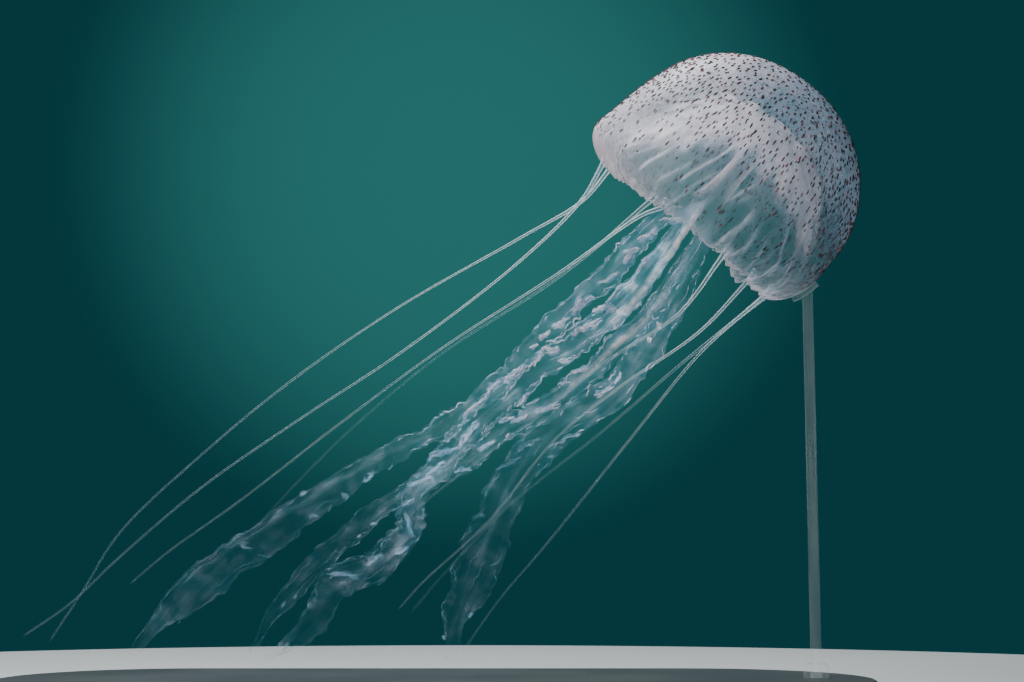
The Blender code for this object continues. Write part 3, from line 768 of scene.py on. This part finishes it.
def make_bell(material):
    columns = LAPPETS * COLUMNS_PER_LAPPET
    azimuth = around(columns)[None, :]
    radius, z = crown_profile()
    crown = bell_local(radius[:, None], azimuth, z[:, None])
    outer_margin, inner_margin, share = margin_faces(azimuth)
    turn = np.linspace(math.asin((WAIST_Z - VAULT_Z) / VAULT_HEIGHT),
                       math.acos(ROOF_RADIUS / VAULT_RADIUS), VAULT_ROWS)[:, None]
    vault = bell_local(VAULT_RADIUS * np.cos(turn), azimuth, VAULT_Z + VAULT_HEIGHT * np.sin(turn))
    stalk_radius, stalk_z = stalk_profile()
    pleats = 0.24 + 0.26 * np.cos(4 * azimuth) + 0.02 * np.cos(18 * azimuth)
    pinch = 1 - smoothstep(46, 38, stalk_z)[:, None] * pleats
    stalk = bell_local(stalk_radius[:, None] * pinch, azimuth, stalk_z[:, None])

    grid = np.concatenate([crown, outer_margin, inner_margin, vault, stalk])
    level = grid[..., 2]
    azimuth = np.broadcast_to(azimuth, level.shape)
    row = np.arange(len(grid))[:, None]
    lining_from = len(crown) + len(outer_margin)
    stalk_from = len(grid) - STALK_ROWS
    lining = np.broadcast_to(row >= lining_from, level.shape).astype(float)
    hollow = lining * (row < len(grid) - len(stalk))
    shading = bell_shading(azimuth, level, grid, lining > 0, row >= stalk_from)

    folds = lining_folds(azimuth, level) * hollow
    edge = np.zeros(level.shape)
    edge[len(crown):lining_from] = share ** 6
    edge[lining_from:lining_from + MARGIN_ROWS] = share[::-1] ** 6
    edge = edge * (0.5 + 0.5 * np.abs(np.cos(azimuth)))
    shading["body"] = np.minimum(shading["body"] + 0.5 * folds + 0.3 * edge, 0.95)
    shading["white"] = np.clip(shading["white"] + folds + 0.6 * edge, 0, 1)

    outward = unit(grid - np.array([0, 0, VAULT_Z]))
    lumps = sum(height * cloudy(seed, grid, size) for seed, size, height in LUMPS)
    lumps = lumps * (1 + 0.4 * smoothstep(24, 40, level))
    in_vault = hollow * (row >= lining_from + MARGIN_ROWS)
    soft = in_vault * smoothstep(WAIST_Z, WAIST_Z + 8, level)
    lift = ROOF_LIFT * lining * smoothstep(28, 44, level)
    grid = grid + outward * (lift + soft * lumps - FOLD_HEIGHT * folds)[..., None]
    shape = Shape()
    shape.rings(from_bell(grid), lining=lining, **shading)
    piece = shape.make("bell", material)
    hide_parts("bell_crown", "bell_margin", "manubrium")


def bell_shading(azimuth, level, grid, lining, stalk):
    """How dense, white and warm the jelly is, over the bell's outside and its lining, with painted light
    on the flared side and a painted highlight near the front's top.
    """
    # The flared side carries painted light: extra density, white and warmth where light from the upper
    # left falls
    lit_flared_side = np.maximum(-np.cos(azimuth), 0)
    near = np.maximum(-np.sin(azimuth), 0)
    far = np.maximum(np.sin(azimuth), 0)
    patch = cloudy(41, grid, 5.5)
    broad = cloudy(42, grid, 16)

    # Outside: denser up the crown and up the far side. Denser, whiter and warmer on the flared side:
    # painted light from the upper left falling on that wall
    density = 0.04 + 0.15 * smoothstep(24, 44, level) + 0.04 * patch
    density = density + 0.2 * lit_flared_side * (1 - 0.6 * smoothstep(30, 50, level))
    density = density + 0.16 * far * smoothstep(12, 34, level)
    white = 0.12 + 0.5 * lit_flared_side + 0.25 * patch + 0.2 * broad
    warm = 0.08 + 0.35 * smoothstep(10, -2, level) + 0.4 * lit_flared_side

    # Lining: milky above an edge with ragged fingers, with a painted highlight in an arch near the
    # front's top, where the hollow's roof is seen edge on
    turn = np.degrees(azimuth)
    clear_below = np.interp(turn, np.linspace(0, 360, len(CLEAR_BELOW)), CLEAR_BELOW)
    fingers = 4 * wandering(51, turn + 0.6 * level, 7) + 2 * wandering(52, turn, 3)
    milk = smoothstep(-5, 7, level - clear_below - fingers)
    roof_highlight = np.exp(-((level - 42 - 2 * broad) / 5.5) ** 2) * near
    inner_density = 0.02 + 0.7 * milk * (0.85 + 0.15 * patch) + 0.45 * roof_highlight
    inner_white = 0.15 + 0.75 * milk + 0.2 * patch + 0.5 * roof_highlight
    inner_warm = 0.05 + 0.22 * milk + 0.16 * broad + 0.16 * patch
    # lumpy painted highlight along that arch, kept dense at the lining's rim
    highlight_ridge = np.clip(1.6 * roof_highlight * smoothstep(-0.5, 0.4, cloudy(43, grid, 4.5)), 0, 1)

    # Stalk: four pillars, of which the foremost is the densest
    pillar = np.maximum(-np.cos(4 * azimuth), 0)
    foremost = np.exp(-((turn - 225) / 28) ** 2)
    pillar_density = (0.05 + 0.22 * pillar) * smoothstep(MANUBRIUM_END - 2, 24, level)
    pillar_density += foremost * (0.15 + 0.3 * smoothstep(MANUBRIUM_END, 15, level))
    inner_density = np.where(stalk, pillar_density, inner_density)
    inner_warm = np.where(stalk, 0.5, inner_warm)
    return {"highlight_ridge": np.where(lining & ~stalk, highlight_ridge, 0),
            "body": np.clip(np.where(lining, inner_density, density), 0.015, 0.9),
            "white": np.clip(np.where(lining, inner_white, white), 0, 1),
            "warm": np.clip(np.where(lining, inner_warm, warm), 0, 0.8)}


def make_warts(material):
    """Raised brown warts all over the bell: round on the crown, drawn out into dashes down
    the flanks, and sparser towards the margin and on the drawn-in side."""
    draw = np.random.default_rng(WART_SEED).uniform
    radius, z = crown_profile()
    curl = np.radians(np.linspace(0, LAST_WART_CURL, 16)[1:])
    radius = np.concatenate([[0], radius, BELL_RADIUS - CURL_IN * (1 - np.cos(curl))])
    z = np.concatenate([[WAIST_Z + CROWN_HEIGHT], z, WAIST_Z - CURL_DEPTH * np.sin(curl)])
    meridian = run_lengths(np.stack([radius, z], axis=-1))
    shape = Shape()
    distance = FIRST_WARTS
    while distance < meridian[-1]:
        drawn = smoothstep(22, 52, distance)
        spacing = WART_SPACING[0] + WART_SPACING[1] * drawn
        half_width = WART_HALF_WIDTH[0] + WART_HALF_WIDTH[1] * drawn
        half_length = WART_HALF_LENGTH[0] + WART_HALF_LENGTH[1] * drawn
        count = max(3, round(math.tau * np.interp(distance, meridian, radius) / spacing))
        offset = draw(0, math.tau)
        for i in range(count):
            azimuth = offset + math.tau * (i + draw(-0.4, 0.4)) / count
            place = distance + draw(-0.45, 0.45) * spacing
            size = draw(*WART_SCALE)
            wobble = draw(0.7, 1.25, WART_CORNERS)
            red = draw() ** 6
            depth = 1 - 0.35 * draw() ** 3
            near = max(-math.sin(azimuth), 0)
            sparse = smoothstep(62, 80, place) * (0.35 + 0.5 * near)
            sparse = max(sparse, 0.3 * drawn * math.cos(azimuth))
            if draw() < sparse or not 0.5 < place < meridian[-1]:
                continue
            add_wart(shape, place, azimuth, (meridian, radius, z), size * half_width,
                     size * half_length, wobble, red=red,
                     depth=depth * (1 - 0.3 * smoothstep(50, 75, place)))
        distance += spacing
    shape.make("bell_warts", material)


def add_wart(shape, place, azimuth, profile, half_width, half_length, wobble, **values):
    """A low dome on the bell's outer face."""
    meridian, radius, z = profile
    corners = around(len(wobble))
    ends = place + np.array([-0.2, 0.2])
    slope_radius = np.ptp(np.interp(ends, meridian, radius))
    slope_z = -np.diff(np.interp(ends, meridian, z))[0]
    normal = unit(np.array([slope_z, slope_radius]))
    rings = []
    for reach, height in WART_RINGS:
        along = place + half_length * reach * np.cos(corners) * wobble
        ring_radius = np.interp(along, meridian, radius)
        turn = half_width * reach * np.sin(corners) * wobble / max(ring_radius.mean(), 2)
        rings.append(bell_local(ring_radius + normal[0] * height, azimuth + turn,
                                np.interp(along, meridian, z) + normal[1] * height))
    shape.rings(from_bell(np.stack(rings)), **values)


# ---- oral arms

class Wings:
    """The two wings of an oral arm: finds places on them by their share of its length and
    how far out they are, from -1 at the upper edge to 1 at the lower."""

    def __init__(self, arm, seed):
        side, depth = ARM_SEAT * np.array(arm["seat"])
        seats = [(side, depth, ARM_START_Z), (side, depth, ARM_START_Z - ARM_LEAD)]
        line = smooth_route([*from_bell(np.array(seats)), *arm["route"]], LINE_POINTS)
        self.total = total = run_lengths(line)[-1]
        self.distance = distance = np.linspace(0, total, round(total / ARM_STEP))
        self.share = share = distance / total
        self.middle = points_along(line, distance)
        along = unit(points_along(line, np.minimum(distance + 0.5, total))
                     - points_along(line, np.maximum(distance - 0.5, 0)))
        level = unit(np.cross(along, [0, 1, 0]))
        roll = TWIST * np.minimum(1, 5 * share)
        roll = (roll * np.sin(math.tau * TWIST_TURNS * share + arm["phase"]))[:, None]
        self.across = level * np.cos(roll) + np.cross(along, level) * np.sin(roll)
        self.deep = np.cross(self.across, along)

        height = WAVE_HEIGHT * np.minimum(1, 0.2 + 6 * share)
        turn = math.tau * distance / WAVE_LENGTH + arm["phase"]
        fade = np.minimum(1, 12 * share) * np.minimum(1, 14 * (1 - share))
        taper = 0.35 + 0.65 * np.minimum(1, 10 * (1 - share))
        self.wave = (height * np.sin(turn), height * np.sin(turn * LOWER_WAVE_RATE + LOWER_WAVE_STEP))
        self.reach = []
        self.ruffle = []
        self.frill = []
        for number, edge in enumerate(("upper", "lower")):
            own = seed + 5 * number
            frill = tenths(arm[f"{edge}_frill"], share)
            ragged = 1 + 0.13 * wandering(own, distance, 4)
            self.reach.append(blended(arm[f"{edge}_wing"], share) * ragged * taper)
            turn = distance / 7.5 + 0.8 * wandering(own + 1, distance, 9)
            quick = distance / 3.1 + 0.6 * wandering(own + 2, distance, 5)
            ruffle = 0.8 * np.sin(math.tau * turn) + 0.45 * np.sin(math.tau * quick)
            self.ruffle.append(ruffle * fade * (0.35 + 0.8 * frill))
            self.frill.append(frill)

    def at(self, share, values):
        return np.interp(share, self.share, values)

    def vectors(self, share, values):
        return np.stack([self.at(share, values[:, i]) for i in range(3)], axis=-1)

    def edge(self, share, side, values):
        """What the upper edge has where the side is below 0, and the lower edge elsewhere."""
        return np.where(side < 0, self.at(share, values[0]), self.at(share, values[1]))

    def place(self, share, side, lift=0):
        """Places on the wings, or lifted off them to the front."""
        share, side = np.broadcast_arrays(share, side)
        out = np.abs(side)
        x = side * self.edge(share, side, self.reach)
        y = (self.edge(share, side, self.wave) * out
             + self.edge(share, side, self.ruffle) * np.minimum(out, 1.2) ** 3 + lift)
        return (self.vectors(share, self.middle) + self.vectors(share, self.across)
                * x[..., None] + self.vectors(share, self.deep) * y[..., None])


def make_arm(name, arm, seed, material):
    wings = Wings(arm, seed)
    share = wings.share[:, None]
    side = np.sin(np.radians(np.linspace(-90, 90, ARM_COLUMNS)))[None, :]
    grid = wings.place(share, side)
    x = np.linalg.norm(grid - wings.middle[:, None], axis=-1) * np.sign(side)
    off = x - blended(arm["rib_side"], share)
    core = np.exp(-(off / (1.5 - 0.6 * share)) ** 2)
    root = smoothstep(-0.015, 0.035, share)
    rib = core * tenths(arm["rib"], share) * (0.75 + 0.45 * cloudy(seed + 23, grid, 1.6)) * root
    fibres = np.stack(np.broadcast_arrays(8 * x, wings.distance[:, None], 0), axis=-1)
    cloud = 1 + 0.45 * cloudy(seed + 20, grid, 6) + 0.55 * cloudy(seed + 22, fibres, 8)
    veil = tenths(arm["veil"], share) * np.maximum(cloud, 0.1) * root
    shape = Shape()
    thin = 0.3 + 0.12 * cloudy(seed + 21, grid, 3)
    shape.sheet(grid, thin + 2 * core * (1 - 0.6 * share), rib=rib, veil=veil, frill=0)
    for number, side in enumerate((-1, 1)):
        add_lip(shape, wings, side, number, seed + 30 + 10 * number, arm)
    folds = [fold for number, lump in enumerate(arm["rolls"])
             for fold in crumpled(lump, seed + 300 + number)]
    folds += small_curls(wings, seed + 60) + creases(wings, seed + 59)
    for number, fold in enumerate(folds):
        add_fold(shape, wings, fold, seed + 61 + number)
    piece = shape.make(f"oral_arm_{name}", material)
    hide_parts(*[f"oral_arm_{name}_{length}" for length in LENGTHS])


def add_lip(shape, wings, side, number, seed, arm):
    """The curly lip along a wing's edge: scallops that curl to and fro, with a thick border."""
    share = wings.share
    distance = wings.distance
    strength = wings.frill[number]
    lobe = distance / LOBE_LENGTH + 0.5 * wandering(seed, distance, 9)
    scallop = np.abs(np.sin(math.pi * lobe)) ** 0.7
    width = 0.35 + 2.4 * strength * (0.7 + 0.3 * wandering(seed + 1, distance, 7))
    width = width * (0.25 + 0.75 * scallop) * np.minimum(1, 14 * share)
    width = (width * np.minimum(1, 10 * (1 - share)))[:, None]
    tilt = 0.9 * wandering(seed + 2, distance, 4.5) * (0.4 + strength)
    curl = 2.8 * wandering(seed + 3, distance, 3.6) * (0.3 + strength)
    step = np.linspace(0, 1, FRILL_COLUMNS)[None, :]
    angle = tilt[:, None] + curl[:, None] * step
    run = width / (FRILL_COLUMNS - 1)
    out = running_sum(np.cos(angle[:, 1:]) * run)
    up = running_sum(np.sin(angle[:, 1:]) * run)
    edge = wings.place(share, np.full(len(share), side))
    grid = (edge[:, None] + side * wings.across[:, None] * out[..., None]
            + wings.deep[:, None] * up[..., None])
    clump = smoothstep(-0.2, 0.7, wandering(seed + 4, distance, 6))
    border = smoothstep(0.62, 1, step)
    bright = strength * (0.12 + 0.65 * clump) * (1 - 0.8 * smoothstep(0.2, 0.7, share))
    frill = bright[:, None] * (0.12 + 0.88 * border) * (0.8 + 0.2 * cloudy(seed, grid, 1.5))
    beads = 0.75 + 0.25 * wandering(seed + 5, distance, 1.3)
    thickness = 0.22 + (0.18 + 0.35 * strength * beads)[:, None] * border
    veil = tenths(arm["veil"], share)[:, None]
    shape.sheet(grid, thickness, rib=0, veil=veil, frill=np.clip(frill, 0, 1))


def crumpled(lump, seed):
    """A lump of the lip: its own pale body and the brighter folds that wander over it. A fold
    is where it starts and ends, as in a roll, its half thickness and its glow."""
    start, start_side, end, end_side, half = lump
    draw = np.random.default_rng(seed).uniform
    folds = [(start, start_side, end, end_side, LUMP_SWELL * half, LUMP_GLOW)]
    for _ in range(FOLDS_PER_LUMP):
        first, last = draw(-0.2, 0.2, 2) * half
        folds.append((start, start_side + first, end, end_side + last,
                      draw(0.28, 0.46) * half, FOLD_GLOW))
    return folds


def small_curls(wings, seed):
    """Little bright curls of the lip all along both edges, closer where it is frillier."""
    draw = np.random.default_rng(seed).uniform
    curls = []
    place = 0.03
    while place < 0.97:
        for number, side in enumerate((-1, 1)):
            frilly = np.interp(place, wings.share, wings.frill[number])
            out = side * draw(0.85, 1.1)
            run = draw(1.2, 4.5) / wings.total
            lean = draw(-0.3, 0.3)
            half = draw(0.14, 0.22 + 0.14 * frilly)
            if draw() < 0.15 + 0.7 * frilly:
                curls.append((place, out, place + run, out + lean, half, CURL_GLOW))
        place += draw(1.2, 3.4) / wings.total
    return curls


def creases(wings, seed):
    """Fine pale creases that run along the wings."""
    draw = np.random.default_rng(seed).uniform
    found = []
    for _ in range(CREASES):
        place = draw(0.04, 0.85)
        side = draw(-0.85, 0.85)
        run = draw(6, 16) / wings.total
        lean = draw(-0.3, 0.3)
        found.append((place, side, place + run, side + lean, CREASE_HALF, CREASE_GLOW))
    return found


def add_fold(shape, wings, fold, seed):
    """A crumpled fold that lies on the wings, from one place on them to another."""
    start, start_side, end, end_side, half, glow = fold
    run = end - start
    lean = end_side - start_side
    way = np.linspace(0, 1, 60)
    length = run_lengths(wings.place(start + run * way, start_side + lean * way))[-1]
    way = np.linspace(-0.04, 1.04, max(10, round(length / FOLD_STEP)))
    share = start + run * way
    distance = way * length
    side = start_side + lean * way + (0.08 + 0.15 * half) * wandering(seed, distance, 2.2)
    side = np.clip(side, -FOLD_REACH, FOLD_REACH)
    middle = wings.place(share, side, 0.25 + 0.4 * half * wandering(seed + 1, distance, 2.7))
    along = unit(np.gradient(middle, axis=0))
    level = unit(np.cross(along, wings.vectors(share, wings.deep)))
    corners = 18 if half > 0.6 else 10
    ring = rings_round(level, np.cross(level, along), corners, FOLD_DEPTH)
    ends = np.sin(math.pi * np.clip((way + 0.05) / 1.1, 0.01, 0.99)) ** 0.5
    swell = half * (ends * (1 + 0.45 * wandering(seed + 2, distance, 2)))[:, None]
    places = middle[:, None] + ring * swell[..., None]
    crumple = 1 + 0.5 * cloudy(seed, places, 1.3) + 0.35 * cloudy(seed + 1, places, 0.6)
    places = middle[:, None] + ring * (swell * crumple)[..., None]
    bright = glow * (0.6 + 0.36 * cloudy(seed + 3, places, 1.2))
    bright = bright * (1 - 0.82 * smoothstep(0.3, 0.7, share))[:, None]
    edge = 1 - 0.5 * np.abs(np.cos(around(corners))) ** 3
    frill = bright * edge * smoothstep(0.15, 0.7, ends)[:, None]
    shape.rings(places, rib=0, veil=0.6, frill=np.clip(frill, 0, 1))


# ---- tentacles

def make_tentacle(number, azimuth, glow, route, material):
    seed = TENTACLE_SEED + number
    notch_z = WAIST_Z - curl_depth(azimuth) * math.sin(NOTCH_CURL)
    root = from_bell(bell_local(TENTACLE_ROOT_RADIUS, azimuth, notch_z - TENTACLE_ROOT_CLEAR))
    inside = from_bell(bell_local(TENTACLE_ROOT_RADIUS + ROOT_SUNK[0], azimuth, notch_z + ROOT_SUNK[1]))
    line = np.vstack([inside, smooth_route([root, *route], LINE_POINTS)])
    total = run_lengths(line)[-1]
    distance = np.linspace(0, total, round(total / TENTACLE_STEP))
    middle = points_along(line, distance)
    along = unit(np.gradient(middle, axis=0))
    side = unit(np.cross(along, [0, 1, 0]))
    deep = np.cross(side, along)
    share = distance / total
    radius = TENTACLE_RADIUS + (TENTACLE_TIP_RADIUS - TENTACLE_RADIUS) * share
    radius = radius * (1 + 0.06 * wandering(seed, distance, 6))
    radius = radius + ROOT_COLLAR[0] * np.exp(-(distance / ROOT_COLLAR[1]) ** 2)
    radius = radius + ROOT_TAPER[0] * np.exp(-distance / ROOT_TAPER[1])
    radius = radius * np.minimum(1, np.sqrt((total - distance) / 1.5 + 0.02))
    ring = rings_round(side, deep, TENTACLE_SIDES)
    shape = Shape()
    fade = glow * (0.1 + 0.9 * np.exp(-np.maximum(share - 0.1, 0) / 0.2))[:, None]
    shape.rings(middle[:, None] + ring * radius[:, None, None], strand=0, fade=fade)
    sway = 0.7 * wandering(seed + 20, distance, 40)
    for start in (0, math.pi):
        out = side * np.cos(start + sway)[:, None] + deep * np.sin(start + sway)[:, None]
        strand = middle + out * (STRAND_OUT * radius)[:, None]
        strand = strand[2:-2, None] + ring[2:-2, ::2] * (STRAND_SHARE * radius)[2:-2, None, None]
        shape.rings(strand, strand=STRAND_GLOW * fade[2:-2], fade=0)
    piece = shape.make(f"tentacle_{number}", material)
    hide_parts(*[f"tentacle_{number}_{length}" for length in LENGTHS])


# ---- stand, stage and light

def finish_stand():
    acrylic = acrylic_finish()
    plinth = plinth_finish()
    for name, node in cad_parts.items():
        if name.startswith("stand_"):
            node.data.materials.clear()
            node.data.materials.append(plinth if name == "stand_base" else acrylic)


def make_floor():
    """A round pale floor, a little larger than the stand."""
    turn = around(FLOOR_CORNERS)
    disc = FLOOR_RADIUS * np.stack([np.cos(turn), np.sin(turn), 0 * turn], axis=-1)
    mesh = bpy.data.meshes.new("floor")
    mesh.from_pydata(disc, [], [list(range(FLOOR_CORNERS))])
    finish = Finish("pale_floor", 0.7)
    finish.feed("Base Color", finish.mix(finish.noise(9), (0.6, 0.61, 0.61), (0.66, 0.67, 0.67)))
    mesh.materials.append(finish.material)
    floor = placed("floor", mesh)


def make_light(name, place, aim, size, power, colour):
    light = bpy.data.lights.new(name, "AREA")
    light.shape = "DISK"
    light.size = size
    light.energy = power
    light.color = colour
    towards = Vector(aim) - Vector(place)
    placed(name, light, place, towards.to_track_quat("-Z", "Y").to_euler())


def make_world():
    """A plain teal backdrop, softly brighter behind the middle of the model."""
    world = bpy.data.worlds.new("studio")
    world.use_nodes = True
    nodes = Nodes(world.node_tree)
    towards = nodes.node("VectorMath", {0: nodes.node("TexCoord")["Generated"], 1: GLOW_TOWARDS},
                         operation="DOT_PRODUCT")["Value"]
    colour = nodes.mix(nodes.ramp(towards, GLOW_FROM, 1), *BACKDROP)
    nodes.fill(world.node_tree.nodes["Background"].inputs["Color"], colour)
    bpy.context.scene.world = world


def light_stage():
    for light in LIGHTS:
        make_light(*light)
    make_world()


def make_camera():
    camera = bpy.data.cameras.new("camera")
    camera.lens = CAMERA_LENS
    camera.sensor_width = 36
    camera.clip_start = 0.01
    bpy.context.scene.camera = placed("camera", camera, CAMERA_PLACE, CAMERA_TURN)


def main():
    make_camera()
    make_bell(bell_finish())
    make_warts(wart_finish())
    arms = arm_finish()
    for number, (name, arm) in enumerate(ARMS.items()):
        make_arm(name, arm, ARM_SEED + ARM_SEED_STEP * number, arms)
    threads = tentacle_finish()
    for number, (azimuth, glow, route) in enumerate(TENTACLES, 1):
        make_tentacle(number, math.radians(azimuth), glow, route, threads)
    finish_stand()
    make_floor()
    light_stage()
    bpy.context.scene.cycles.transparent_max_bounces = CLEAR_LAYERS


main()
